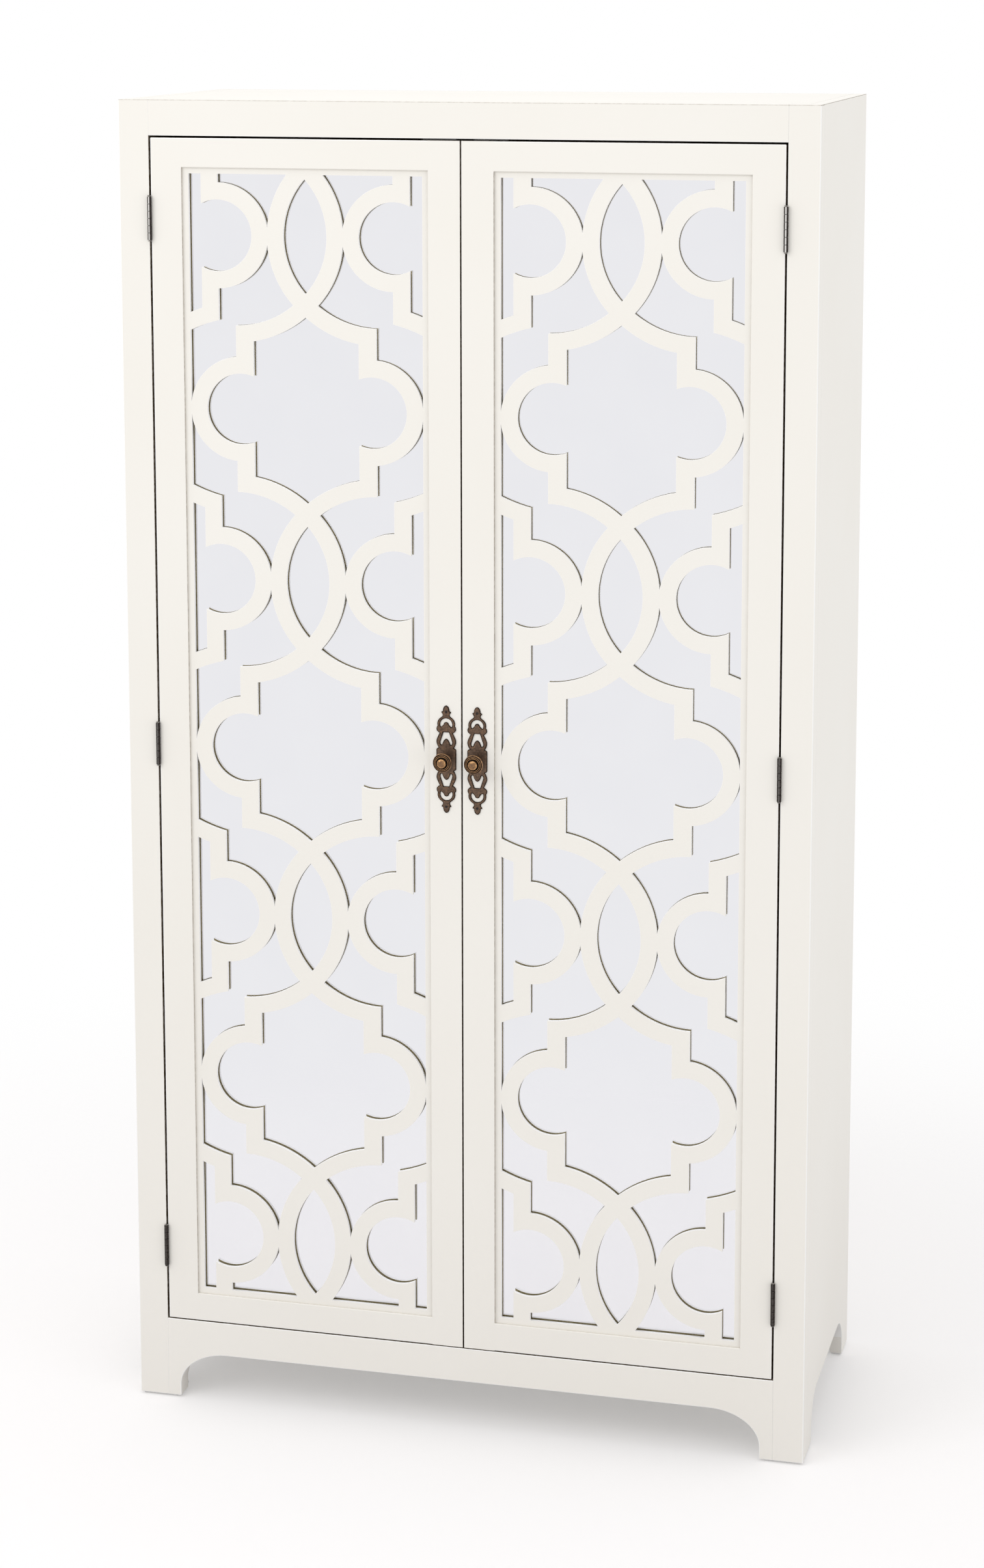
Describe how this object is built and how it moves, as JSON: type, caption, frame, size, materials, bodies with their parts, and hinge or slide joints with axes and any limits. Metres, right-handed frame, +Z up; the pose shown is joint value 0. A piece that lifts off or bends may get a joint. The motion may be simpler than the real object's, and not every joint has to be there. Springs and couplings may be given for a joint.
{
  "type": "armoire",
  "caption": "Painted armoire with mirrored doors behind pierced fretwork, brass knobs on pierced backplates, shelves inside and arched feet.",
  "frame": {"origin": "on the floor, under the middle of the bounding box", "axes": "+Z up, +X to the right as seen from the front, doors face -Y"},
  "size_m": [0.948, 0.45, 1.829],
  "materials": {
    "cream_paint": "satin cream paint on board",
    "mirror_glass": "silvered plate glass",
    "hardboard": "bare fibreboard",
    "white_nylon": "moulded nylon",
    "antique_brass": "antiqued, lacquered",
    "dark_steel": "darkened, satin",
    "bright_steel": "zinc plated"
  },
  "bodies": {
    "case": {"left_side_panel": "cream_paint", "left_face_stile": "cream_paint", "right_side_panel": "cream_paint", "right_face_stile": "cream_paint", "top_rail": "cream_paint", "front_apron": "cream_paint", "top_panel": "cream_paint", "bottom_panel": "cream_paint", "back_panel": "cream_paint", "back_rail": "cream_paint", "lower_shelf": "cream_paint", "middle_shelf": "cream_paint", "upper_shelf": "cream_paint", "front_left_glide": "white_nylon", "rear_left_glide": "white_nylon", "left_catch": "white_nylon", "left_upper_hinge_case_leaf": "dark_steel", "left_upper_hinge_pin": "dark_steel", "left_middle_hinge_case_leaf": "dark_steel", "left_middle_hinge_pin": "dark_steel", "left_lower_hinge_case_leaf": "dark_steel", "left_lower_hinge_pin": "dark_steel", "front_right_glide": "white_nylon", "rear_right_glide": "white_nylon", "right_catch": "white_nylon", "right_upper_hinge_case_leaf": "dark_steel", "right_upper_hinge_pin": "dark_steel", "right_middle_hinge_case_leaf": "dark_steel", "right_middle_hinge_pin": "dark_steel", "right_lower_hinge_case_leaf": "dark_steel", "right_lower_hinge_pin": "dark_steel"},
    "left_door": {"left_upper_hinge_door_leaf": "dark_steel", "left_middle_hinge_door_leaf": "dark_steel", "left_lower_hinge_door_leaf": "dark_steel", "left_door_hinge_stile": "cream_paint", "left_door_meeting_stile": "cream_paint", "left_door_top_rail": "cream_paint", "left_door_bottom_rail": "cream_paint", "left_door_fretwork": "cream_paint", "left_door_mirror": "mirror_glass", "left_door_backing_board": "hardboard", "left_door_backplate": "antique_brass", "left_door_knob": "antique_brass", "left_door_knob_screw": "bright_steel", "left_door_strike_plate": "bright_steel"},
    "right_door": {"right_upper_hinge_door_leaf": "dark_steel", "right_middle_hinge_door_leaf": "dark_steel", "right_lower_hinge_door_leaf": "dark_steel", "right_door_hinge_stile": "cream_paint", "right_door_meeting_stile": "cream_paint", "right_door_top_rail": "cream_paint", "right_door_bottom_rail": "cream_paint", "right_door_fretwork": "cream_paint", "right_door_mirror": "mirror_glass", "right_door_backing_board": "hardboard", "right_door_backplate": "antique_brass", "right_door_knob": "antique_brass", "right_door_knob_screw": "bright_steel", "right_door_strike_plate": "bright_steel"}
  },
  "joints": [
    {"name": "left_door_swing", "type": "hinge", "parent": "case", "child": "left_door", "pos_m": [-0.4307, -0.1982, 0.949], "axis": [0, 0, -1], "range_deg": [0, 175]},
    {"name": "right_door_swing", "type": "hinge", "parent": "case", "child": "right_door", "pos_m": [0.4307, -0.1982, 0.949], "axis": [0, 0, 1], "range_deg": [0, 175]}
  ]
}
